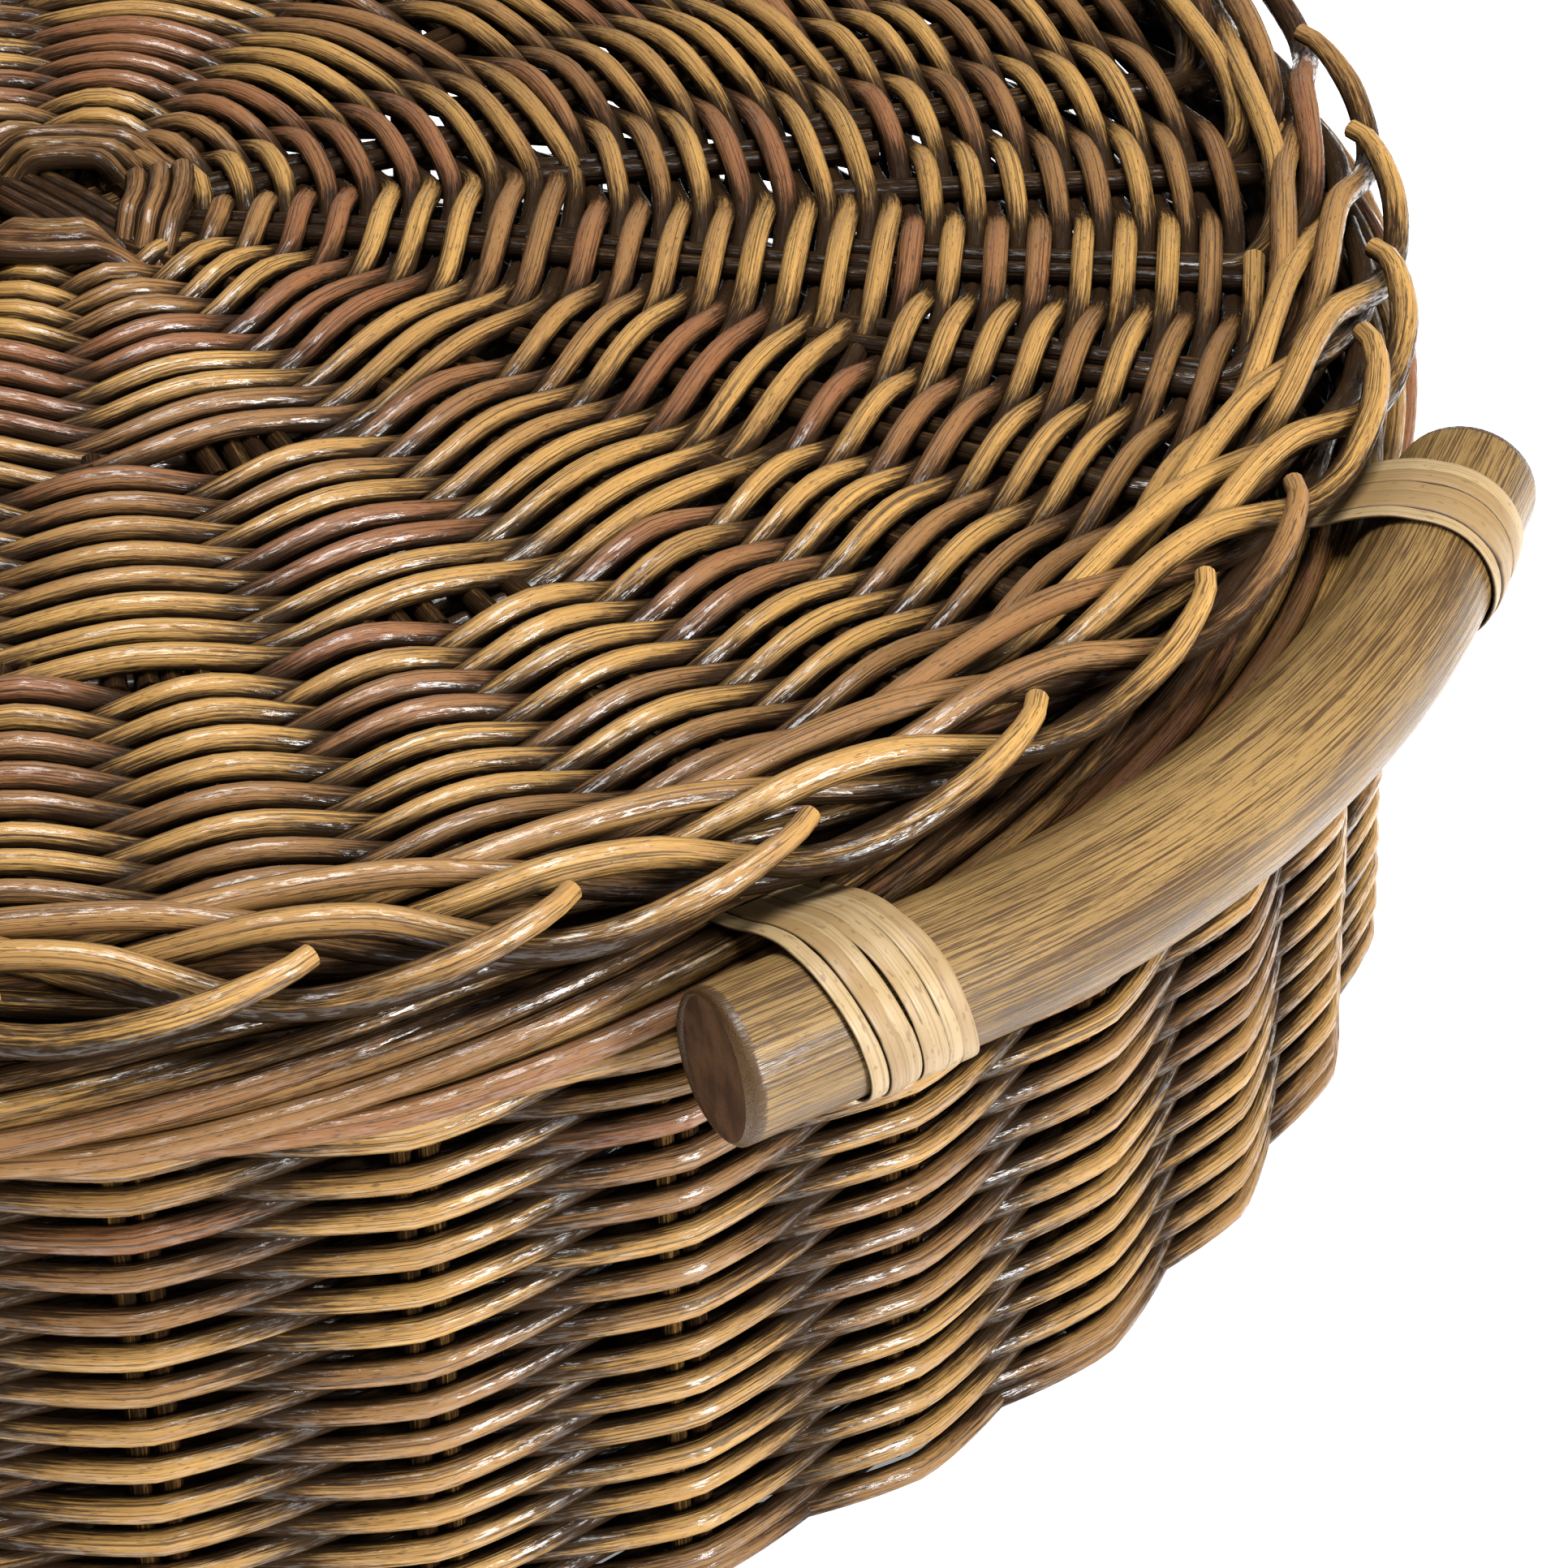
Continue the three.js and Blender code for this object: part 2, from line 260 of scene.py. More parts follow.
def grain(tree, vector, across, along, detail=2.0, rough=0.5):
    """Streaks that run with a strand, of a real width and length."""
    size = (1 / across, 1 / across, 1 / along)
    scaled = put(tree, "VectorMath", {0: vector, 1: size}, operation="MULTIPLY")
    return put(tree, "TexNoise",
               {"Vector": scaled, "Scale": 1.0, "Detail": detail, "Roughness": rough}, "Fac")


def total(tree, start, *parts):
    """A pattern, or a number, with more patterns added by their weights."""
    for pattern, weight in parts:
        start = put(tree, "Math", {0: pattern, 1: weight, 2: start}, operation="MULTIPLY_ADD")
    return start


def layered(tree, base, *coats):
    """Colours laid over each other. A coat is a pattern, the value where it begins, the value where
    it is full, how much it covers there, and a colour."""
    for pattern, begins, full, most, tint in coats:
        mask = put(tree, "MapRange", {0: pattern, 1: begins, 2: full, 4: most}, **EASED)
        base = put(tree, "Mix", {0: mask, 6: base, 7: tint}, 2, data_type="RGBA")
    return base


def new_tree(name):
    made = bpy.data.materials.new(name)
    made.use_nodes = True
    made.node_tree.nodes.clear()
    return made, made.node_tree


def strand_material(name, gold, brown, red, dark, gloss, coat):
    """Rattan core, dyed a golden brown, rubbed with a dark stain and lacquered. The stain stays in
    the hollows, and painted shade darkens the rods deep in the weave and on their hidden sides,
    so the rods look rounder and deeper than they are."""
    made, tree = new_tree(name)
    straight = put(tree, "Attribute", give="Vector", attribute_name="straight")
    tone = put(tree, "Attribute", give="Fac", attribute_name="tone")
    stain_and_shade = put(tree, "Attribute", give="Fac", attribute_name="stain_and_shade")
    # Bundles of fibres run the length of the strand, about 0.5 mm across.
    fibre = grain(tree, straight, 0.5 * MM, 30 * MM, 3.0, 0.6)
    # Dye takes unevenly, in patches 2.6 mm across and 45 mm long.
    patch = grain(tree, straight, 2.6 * MM, 45 * MM)
    # Stain catches in short rough scratches, about 0.4 mm across and 6 mm long.
    scratch = grain(tree, straight, 0.4 * MM, 6 * MM, 3.0, 0.65)
    # Stain also runs into narrow cracks along the fibres, 0.4 mm across.
    crack = grain(tree, straight, 0.4 * MM, 50 * MM)
    # The pores are 0.1 mm across, and drawn 0.3 mm across so that they can be seen.
    pore = grain(tree, straight, 0.3 * MM, 2.4 * MM, 1.0)
    tint = layered(tree, colour(gold),
                   (total(tree, tone, (patch, 0.5)), 0.42, 0.95, 1.0, colour(brown)),
                   (total(tree, tone, (patch, 0.3)), 0.93, 1.12, 1.0, colour(red)),
                   (fibre, 0.7, 0.3, 0.55, colour(brown)),
                   (crack, 0.55, 0.62, 0.7, colour(dark)),
                   (pore, 0.62, 0.7, 0.6, colour(dark)))
    # Stain in the hollows and painted shade deep in the weave, broken up by scratches and patches.
    stain_and_shade_mask = total(tree, stain_and_shade, (scratch, 0.9), (patch, 0.5), (fibre, -0.5))
    # Where the stain and painted shade are thin they only tint, and where they are thick they cover.
    shade = put(tree, "Mix", {0: 0.6, 6: tint, 7: colour(brown)}, 2,
                data_type="RGBA", blend_type="MULTIPLY")
    tint = layered(tree, tint,
                   (stain_and_shade_mask, 0.5, 1.0, 0.45, shade),
                   (stain_and_shade_mask, 0.76, 1.14, 0.97, colour(dark)))
    # Thick stain is dull, and the lacquer hardly reaches down into it.
    shine = put(tree, "MapRange", {0: stain_and_shade_mask, 1: 0.7, 2: 1.1, 3: 0.16, 4: 0.02}, **EASED)
    # The lacquer lies in broken beads and runs, 0.8 mm across and 4 mm long.
    bead = grain(tree, straight, 0.8 * MM, 4 * MM, 2.0, 0.6)
    wet = put(tree, "MapRange", {0: bead, 1: 0.45, 2: 0.58, 3: 0.06 * coat, 4: coat}, **EASED)
    rough = put(tree, "MapRange", {0: scratch, 1: 0.3, 2: 0.75, 3: gloss - 0.1, 4: gloss + 0.16}, **EASED)
    coat_rough = put(tree, "MapRange", {0: scratch, 1: 0.25, 2: 0.7, 3: 0.05, 4: 0.18}, **EASED)
    relief = total(tree, fibre, (scratch, 0.8), (crack, -0.6))
    bump = put(tree, "Bump", {"Strength": 1.0, "Distance": 0.3 * MM, "Height": relief})
    # The lacquer fills the fibres, and its own surface only rolls a little.
    rolls = total(tree, bead, (scratch, 0.7))
    skin = put(tree, "Bump", {"Strength": 1.0, "Distance": 0.12 * MM, "Height": rolls})
    put(tree, "OutputMaterial", {"Surface": put(tree, "BsdfPrincipled", {
        "Base Color": tint, "Roughness": rough, "IOR": 1.5, "Specular IOR Level": shine, "Normal": bump,
        "Coat Weight": wet, "Coat Roughness": coat_rough, "Coat IOR": 1.5, "Coat Normal": skin})})
    return made


def cane_material():
    """A thick cane pole with its bark left on, antiqued: golden, with dark stain wiped along the grain."""
    made, tree = new_tree("antiqued cane bark")
    straight = put(tree, "Attribute", give="Vector", attribute_name="straight")
    stain_and_shade = put(tree, "Attribute", give="Fac", attribute_name="stain_and_shade")
    # Grain lines 0.4 mm across run 60 mm and more, with finer broken ones between them.
    line = grain(tree, straight, 0.4 * MM, 60 * MM, 3.0, 0.6)
    fine = grain(tree, straight, 0.24 * MM, 9 * MM, 2.0, 0.6)
    # Stain lies in long clouds, and in flecks 0.5 mm across and 3 mm long.
    cloud = grain(tree, straight, 9 * MM, 45 * MM, 3.0)
    fleck = grain(tree, straight, 0.5 * MM, 3 * MM, 1.0)
    # The stain-and-shade attribute adds the stain on the sawn ends, and a little painted shade below.
    wiped = total(tree, 0.0, (line, 0.9), (fine, 0.6), (stain_and_shade, 0.5), (cloud, 0.2))
    tint = layered(tree, colour("#735B36"),
                   (cloud, 0.35, 0.7, 0.7, colour("#594425")),
                   (wiped, 0.8, 0.96, 0.85, colour("#2C1A0A")),
                   (fleck, 0.62, 0.7, 0.4, colour("#33200F")))
    rough = put(tree, "MapRange", {0: fine, 1: 0.3, 2: 0.7, 3: 0.36, 4: 0.55}, **EASED)
    # The lacquer has sunk into the grain, so it shines in fine broken lines.
    wet = put(tree, "MapRange", {0: fine, 1: 0.42, 2: 0.58, 3: 0.03, 4: 0.55}, **EASED)
    skin = put(tree, "Bump", {"Strength": 1.0, "Distance": 0.08 * MM, "Height": fine})
    ridges = total(tree, line, (fine, 1.0))
    bump = put(tree, "Bump", {"Strength": 0.9, "Distance": 0.25 * MM, "Height": ridges})
    put(tree, "OutputMaterial", {"Surface": put(tree, "BsdfPrincipled", {
        "Base Color": tint, "Roughness": rough, "IOR": 1.5, "Specular IOR Level": 0.1, "Normal": bump,
        "Coat Weight": wet, "Coat Roughness": 0.16, "Coat IOR": 1.4, "Coat Normal": skin})})
    return made


def end_grain_material():
    """The pole's sawn end: sanded, dark with stain soaked into the open pores."""
    made, tree = new_tree("stained cane end grain")
    place = put(tree, "TexCoord", give="Object")
    # The pores are 0.3 mm across, and drawn 0.8 mm across so that they can be seen.
    pores = put(tree, "TexVoronoi", {"Vector": place, "Scale": 1 / (0.8 * MM)}, "Distance", feature="F1")
    # Stain has soaked in unevenly, over patches of 6 mm.
    cloud = put(tree, "TexNoise", {"Vector": place, "Scale": 1 / (6 * MM), "Detail": 4.0}, "Fac")
    tint = layered(tree, colour("#523722"),
                   (cloud, 0.35, 0.65, 1.0, colour("#372314")),
                   (pores, 0.42, 0.12, 0.5, colour("#20130A")))
    bump = put(tree, "Bump", {"Strength": 0.4, "Distance": 0.1 * MM, "Height": pores})
    put(tree, "OutputMaterial", {"Surface": put(tree, "BsdfPrincipled", {
        "Base Color": tint, "Roughness": 0.55, "IOR": 1.5, "Specular IOR Level": 0.2, "Normal": bump})})
    return made


def peel_material():
    """Flat strips split from the outer skin of rattan: pale straw, thinly lacquered."""
    made, tree = new_tree("rattan peel")
    straight = put(tree, "Attribute", give="Vector", attribute_name="straight")
    tone = put(tree, "Attribute", give="Fac", attribute_name="tone")
    stain_and_shade = put(tree, "Attribute", give="Fac", attribute_name="stain_and_shade")
    # Fibre lines 0.32 mm across, worn patches 3 mm across, and dark specks 2.2 mm long.
    lines = grain(tree, straight, 0.32 * MM, 26 * MM, 3.0, 0.6)
    patch = grain(tree, straight, 3 * MM, 25 * MM)
    speck = grain(tree, straight, 0.6 * MM, 2.2 * MM, 1.0)
    tint = layered(tree, colour("#84704F"),
                   (total(tree, tone, (patch, 1.0)), 0.6, 1.5, 1.0, colour("#735C3A")),
                   (lines, 0.5, 0.62, 0.55, colour("#604A2C")),
                   (speck, 0.63, 0.7, 0.6, colour("#5A4026")),
                   # Stain on the hoop ties, painted shade on the strips' hidden backs, and darker edges.
                   (stain_and_shade, 0.3, 0.95, 0.95, colour("#33200F")))
    rough = put(tree, "MapRange", {0: lines, 1: 0.3, 2: 0.7, 3: 0.42, 4: 0.6}, **EASED)
    bump = put(tree, "Bump", {"Strength": 0.6, "Distance": 0.12 * MM, "Height": lines})
    put(tree, "OutputMaterial", {"Surface": put(tree, "BsdfPrincipled", {
        "Base Color": tint, "Roughness": rough, "IOR": 1.5, "Specular IOR Level": 0.35, "Normal": bump,
        "Coat Weight": 0.1, "Coat Roughness": 0.3})})
    return made


# The dark colour serves stain in cracks and pores, and stain and painted shade in the weave.
WEAVER = strand_material("stained rattan core",
                         "#997640", "#71512F", "#6C442B", "#21160D", gloss=0.45, coat=0.7)
STAKE = strand_material("dark stained rattan core",
                        "#80602F", "#5C4020", "#54331E", "#1A1008", gloss=0.5, coat=0.15)
CANE = cane_material()
END_GRAIN = end_grain_material()
PEEL = peel_material()

# ---------------------------------------------------------------- weavers

PRESSED = 0.98  # rods bed into each other a little where they cross
# How far apart the points along a weaver are, and how straight it runs between columns.
LID_STEP, LID_FLATNESS = 4.6 * MM, 0.35
BASE_STEP, BASE_FLATNESS = 8 * MM, 0.3
WALL_STEP, WALL_FLATNESS = 0.8, 0.66  # the step is in degrees
WALL_BEGIN = 150.0  # degrees, where the wall's first weaver is begun


def rod_tone(golden=0.5, red=0.2):
    """A rod's colour, with the shares of golden and reddish rods given and the rest brown:
    up to 0.35 is golden, up to 0.7 brown, and from 0.8 reddish."""
    pick = rng.uniform()
    if pick < golden:
        return rng.uniform(0.0, 0.35)
    if pick < 1 - red:
        return rng.uniform(0.35, 0.7)
    return rng.uniform(0.8, 1.0)


def cut_up(strands, place, s, shape, length, shares, **how):
    """Lays rods one after another along a long run. s is the distance along the run, shape how far
    over or under a column it is, and place gives a stretch's points, outward side and crown.
    shares gives rod_tone its shares at a point."""
    start = 0
    while start < len(s) - 2:
        end = start
        goal = s[start] + rng.uniform(*length)
        while end < len(s) - 1 and s[end] < goal:
            end += 1
        # A rod is cut off at the bottom of a hollow, behind a column, where its end is hidden.
        while end < len(s) - 1 and not shape[end - 1] > shape[end] <= shape[end + 1]:
            end += 1
        path, out, crown = place(slice(start, end + 1))
        thick = ROD / 2 * rng.uniform(0.94, 1.06)
        n = end + 1 - start
        if n > 3:
            rough = wander(np.arange(n), 5, 0.04)
            strands.add(path, out, thick * (1 + rough), rod_tone(*shares(path[n // 2])), crown, **how)
        start = end


def disc_shares(point):
    """The weaving is begun with browner, redder rods than it is finished with."""
    out = smooth(60 * MM, 190 * MM, math.hypot(point[0], point[1]))
    return 0.3 + 0.3 * out, 0.3 - 0.1 * out


def wall_shares(_):
    """The wall's rods are mostly golden, all the way up."""
    return 0.62, 0.1


def disc_weave(middle, pitch, end, hand, off, step, flatness, sides, up=1.0):
    """One of the two weavers chasing each other round a disc. hand is 0 or 1."""
    radius, degrees = [], []
    begin = WEAVE_START + hand * pitch / 2
    r, a = begin, STAGE_SWITCH
    while r < end:
        radius.append(r)
        degrees.append(a)
        a += math.degrees(step / r)
        r = begin + pitch * (a - STAGE_SWITCH) / 360
    radius, degrees = np.array(radius), np.array(degrees)
    # A weaver keeps to one set of columns for a whole turn.
    whole_turn = begin + pitch * np.floor((degrees - STAGE_SWITCH) / 360 + 1e-9)
    height = np.zeros(len(radius))
    pull = np.zeros(len(radius))
    for i, (count, first) in enumerate(STAGES):
        inside = whole_turn >= (STAGE_ENDS[i - 1] if i else 0)
        if i < len(STAGES) - 1:
            inside = inside & (whole_turn < STAGE_ENDS[i])
        turn = (degrees - first) * count / 360 + hand
        height = np.where(inside, wave(turn, flatness), height)
        # A stiff rod runs straight over a spoke and bends where it goes under its neighbours.
        to_spoke = np.radians((turn + 0.5) % 1 - 0.5) * 360 / count
        pull = np.where(inside, 1 - math.cos(math.pi / count) / np.cos(to_spoke), pull)
    # Take the corner off where one set of columns gives way to the next.
    for _ in range(2):
        for run in (height, pull):
            run[1:-1] = 0.25 * run[:-2] + 0.5 * run[1:-1] + 0.25 * run[2:]
    drift = wander(degrees, 37, 0.35 * MM), wander(degrees, 11, 0.3 * MM)
    radius = radius * (1 - 0.9 * pull) + drift[0] + drift[1]
    lift = wander(degrees, 23, 0.25 * MM)
    z = middle + up * (height * ROD * PRESSED) + lift
    path = off_middle(turned(radius, degrees, z), off)
    far = np.concatenate([[0], np.cumsum(np.linalg.norm(np.diff(path, axis=0), axis=1))])
    # Where a weaver dives under a column it is painted darker: stain, and painted shade.
    crown = ROD * (1 - height)
    out = np.array([0, 0, up])
    strands = Strands()
    cut_up(strands, lambda k: (path[k], out, crown[k]), far, height, (0.5, 2.2), disc_shares,
           sides=sides)
    return strands


def wall_radius(z):
    """The radius of the circle that the stakes stand on at height z."""
    return WALL_RADIUS + WALL_FLARE * (1 - z / WALL_TOP)


def wall_weave(hand, sides):
    """One of the two weavers chasing each other up the wall. hand is 0 or 1."""
    bottom = ROD / 2 + hand * WALL_PITCH / 2
    top = WALL_TOP - ROD / 2
    count = int((top - bottom) / WALL_PITCH * 360 / WALL_STEP)
    # The first turn lies on the floor and the last one along the top, so that both edges are level.
    degrees = WALL_BEGIN + WALL_STEP * np.arange(-int(360 / WALL_STEP), count + int(300 / WALL_STEP))
    z = np.clip(bottom + WALL_PITCH * (degrees - WALL_BEGIN) / 360, ROD / 2, top)
    turn = (degrees - WALL_FIRST) / (360 / COLUMNS) + hand
    shape = wave(turn, WALL_FLATNESS)
    z = np.maximum(z + wander(degrees, 31, 0.35 * MM) + wander(degrees, 9, 0.3 * MM), 0.56 * ROD)
    radius = wall_radius(z) + shape * ROD * PRESSED + wander(degrees, 17, 0.3 * MM)
    path = turned(radius, degrees, z)
    out = turned(1.0, degrees, 0) + np.array([0, 0, 0.25])
    far = np.concatenate([[0], np.cumsum(np.linalg.norm(np.diff(path, axis=0), axis=1))])
    # Where a weaver dives under a column it is painted darker: stain, and painted shade.
    crown = ROD * (1 - shape)
    strands = Strands()
    cut_up(strands, lambda k: (path[k], out[k], crown[k]), far, shape, (0.9, 2.8), wall_shares,
           sides=sides, bias=0.1)
    return strands


for hand in (0, 1):
    weave = disc_weave(
        LID_MIDDLE, LID_PITCH, LID_WEAVE_END, hand, LID_OFF, LID_STEP, LID_FLATNESS, sides=10)
    weave.piece(f"lid_weaver_{hand + 1}", WEAVER, "lid", "rattan_weavers", ["lid_weave"])
    weave = wall_weave(hand, sides=10)
    weave.piece(f"wall_weaver_{hand + 1}", WEAVER, "basket", "rattan_weavers", ["wall_weave"])
    weave = disc_weave(
        BASE_MIDDLE, BASE_PITCH, BASE_WEAVE_END, hand, BASE_OFF, BASE_STEP, BASE_FLATNESS, sides=6,
        up=-1.0)
    weave.piece(f"base_weaver_{hand + 1}", WEAVER, "basket", "rattan_weavers", ["base_weave"])

# ---------------------------------------------------------------- cross and spokes

SPOKE_START = 15 * MM  # from the middle, where the cross hides the spokes' ends
SPOKE_LAP = 6 * MM  # how far each stage's spokes run on past both ends of the stage
FOOT_RADIUS = 258.0 * MM
FOOT_HEIGHTS = (3.0 * MM, 7.6 * MM)
CROSS_FIRST = -7.0  # degrees from +X to a bundle of the cross
CROSS_REACH = 31 * MM  # half the length of a bundle
# How many rods each layer's bundle has, how thick they are, and between which tones.
BUNDLES = ((6, 4.4 * MM, (0.1, 0.5)), (5, 3.3 * MM, (0.75, 1.0)))


def spokes(middle, end, off):
    """Straight double spokes for each stage of the weave, out to end."""
    strands = Strands()
    ends = (STAGE_ENDS[0] + SPOKE_LAP, STAGE_ENDS[1] + SPOKE_LAP, end)
    starts = (SPOKE_START, STAGE_ENDS[0] - SPOKE_LAP, STAGE_ENDS[1] - SPOKE_LAP)
    for (count, first), near, far in zip(STAGES, starts, ends):
        for k in range(count):
            for side in (-0.5, 0.5):
                a = first + k * 360 / count + rng.uniform(-0.6, 0.6)
                r = np.linspace(near, far, 12)
                path = turned(r, np.full(12, a), middle + rng.uniform(-0.3, 0.3) * MM)
                across = turned(1.0, np.array([a + 90.0]), 0)[0]
                bend = wander(r / MM, 40, 0.5 * MM)
                path = path + across * side * ROD * PRESSED + across * bend[:, None]
                path = off_middle(path, off)
                # The spokes lie under the weavers, so a crown of ROD paints them dark: stain and painted
                # shade.
                strands.add(path, (0, 0, 1), ROD / 2 * 0.96, rng.uniform(0.3, 0.9), ROD,
                            sides=8, bias=0.1)
    return strands


lid_spokes = spokes(LID_MIDDLE, LID_WEAVE_END + 4 * MM, LID_OFF)
lid_spokes.piece("lid_spokes", STAKE, "lid", "rattan_stakes", ["lid_cross_lower"])
base_spokes = spokes(BASE_MIDDLE, BASE_WEAVE_END, BASE_OFF)
# Two rods laid round the foot close the corner between the base and the wall.
for height in FOOT_HEIGHTS:
    ring = turned(FOOT_RADIUS, np.linspace(0, 360, 145), height)
    base_spokes.add(ring, (0, 0, -1), ROD / 2, 0.6, ROD, sides=8)
base_spokes.piece("base_spokes", STAKE, "basket", "rattan_stakes", ["base_cross_lower"])


def cross(middle, up, off):
    """Two bundles of rods laid across each other, tied round with the first weavers."""
    strands = Strands()
    for layer, (count, thick, tones) in enumerate(BUNDLES):
        a = CROSS_FIRST + 90 * (1 - layer)
        along, across = turned(1.0, np.array([a, a + 90.0]), 0)
        for i in range(count):
            x = np.linspace(-CROSS_REACH, CROSS_REACH, 17)
            # The upper layer's rods dip at their ends, down to the weave.
            dip = layer * ROD * 1.1 * smooth(16 * MM, 27 * MM, np.abs(x))
            lift = (layer - 0.5) * ROD * 0.95 - dip
            sag = wander(x / MM, 20, 0.4 * MM)
            beside = (i - (count - 1) / 2) * thick * 1.04 + sag
            path = np.outer(x, along) + np.outer(beside, across)
            path[:, 2] = middle + up * lift
            strands.add(path + off, (0, 0, up), thick / 2, rng.uniform(*tones), 0.8 * ROD,
                        sides=8, bias=0.1 + 0.1 * layer)
    for k in range(4):
        for ring in range(3):
            # A tie runs straight across the corner between two bundles, and dives at both of them.
            a = np.linspace(-46, 46, 25)
            r = (15.5 + 4.6 * ring) * MM / np.cos(np.radians(a)) ** 0.6
            z = middle + up * ROD * (1.25 - 1.5 * smooth(22, 46, np.abs(a))) + wander(a, 30, 0.3 * MM)
            path = turned(r, a + CROSS_FIRST + 45 + 90 * k, z) + off
            strands.add(path, (0, 0, up), ROD / 2, rng.uniform(0.5, 1.0), 0.5 * ROD,
                        sides=10, bias=0.15)
    return strands


lid_cross = cross(LID_MIDDLE, 1.0, LID_OFF)
lid_cross.piece("lid_cross", WEAVER, "lid", "rattan_weavers", ["lid_cross_upper"])
base_cross = cross(BASE_MIDDLE, -1.0, BASE_OFF)
base_cross.piece("base_cross", WEAVER, "basket", "rattan_weavers", ["base_cross_upper"])

# ---------------------------------------------------------------- lid border

# Each spoke's two rods come up beside each other, pass over the next ones and are tucked under:
# degrees from the outer rod's cut tip, radius and height in millimetres.
OUTER_ROD = (
    (-30.2, 224, 139.8), (-30.0, 238, 139.6), (-29.0, 246, 140.0), (-26.4, 251.5, 142.6),
    (-23.0, 254.0, 146.8), (-19.6, 255.4, 149.6), (-16.2, 257.8, 149.0), (-13.6, 262.0, 146.0),
    (-11.2, 266.2, 143.2), (-8.4, 269.2, 143.4), (-4.9, 269.9, 146.2), (-2.2, 268.4, 148.8),
    (-0.6, 266.2, 150.2), (0.1, 263.8, 150.4),
)
INNER_ROD = (
    (-30.2, 222, 139.8), (-30.4, 233, 139.9), (-29.6, 240, 140.8), (-27.0, 244.6, 144.0),
    (-23.2, 245.8, 148.0), (-18.6, 245.6, 149.8), (-13.8, 246.8, 149.4), (-9.8, 250.6, 146.6),
    (-6.0, 256.0, 142.8), (-2.0, 260.5, 139.6), (2.0, 262.5, 138.4), (7.5, 261.0, 138.2),
)
# A shorter rod is laid in with each pair, low down, and fills the hollow between the pairs.
LOW_ROD = (
    (-21.0, 246, 138.6), (-15.0, 249.5, 139.6), (-9.0, 251.5, 141.2), (-3.0, 253.0, 141.4),
    (3.0, 256.0, 139.8), (8.0, 258.5, 138.6),
)


def border_rod(strands, control, tip, reach, thick, tone, crest):
    """One rod of the lid's border, whose tip is cut off reach further on than its last point.
    crest is the height that the wiping cloth ran at: below it the rod is painted darker, with the
    stain left in the hollows and with painted shade."""
    shift = rng.uniform(-0.9, 0.9)
    lean = rng.uniform(-1.2, 1.2)
    points = []
    for i, (a, r, z) in enumerate(control):
        share = i / (len(control) - 1)
        radius = (r + lean * math.sin(math.pi * share)) * MM
        points.append(turned(radius, np.array([tip + a + shift * share]), z * MM)[0])
    last, before = points[-1], points[-2]
    points[-1] = last + unit(last - before) * reach
    path = curve(points, 40)
    out = np.array([0, 0, 1.0]) + 0.45 * unit(path * np.array([1, 1, 0]))
    # Stain and painted shade: the further below crest a point lies, the darker it is painted.
    crown = np.clip(crest - path[:, 2], 0, None)
    share = np.linspace(0, 1, len(path))
    taper = thick / 2 * (1 - 0.26 * smooth(0.86, 1.0, share)) * (1 + wander(share, 0.12, 0.06))
    strands.add(path, out, taper, tone, crown, sides=12, darkest=14 * MM)


border = Strands()
for k in range(COLUMNS):
    tip = LID_EDGE_FIRST + 360 * k / COLUMNS + rng.uniform(-1.0, 1.0)
    reach = rng.uniform(-2.0, 1.0) * MM
    border_rod(border, OUTER_ROD, tip, reach, 5.4 * MM, rod_tone(0.5, 0.16), 151 * MM)
    border_rod(border, INNER_ROD, tip, 0.0, 5.2 * MM, rod_tone(0.5, 0.16), 150 * MM)
    border_rod(border, LOW_ROD, tip, 0.0, 4.6 * MM, rod_tone(0.3, 0.3), 147 * MM)
border.piece("lid_border_rods", WEAVER, "lid", "rattan_weavers", ["lid_border"])

# ---------------------------------------------------------------- wall stakes and rim

# Each stake's two rods bend outwards, lie along the wall under the rods before them, and tuck in
# over the top: degrees from the stake, radius and height in millimetres.
RIM_ROD = (
    (0.0, 264.0, 108), (0.3, 264.6, 114.5), (1.6, 267.6, 119.2), (4.2, 270.4, 121.0),
    (9.5, 271.6, 121.6), (16.0, 271.0, 124.6), (22.5, 269.4, 128.2), (28.5, 265.6, 130.0),
    (33.5, 260.4, 129.8), (37.5, 256.4, 127.0), (40.0, 255.0, 123.0),
)
RIM_OUTSIDE = 272 * MM  # the wiping cloth's radius: further in, stain and painted shade darken the rods
HALF_APART = math.degrees(ROD / WALL_RADIUS) / 2  # degrees from a stake's middle to each of its rods

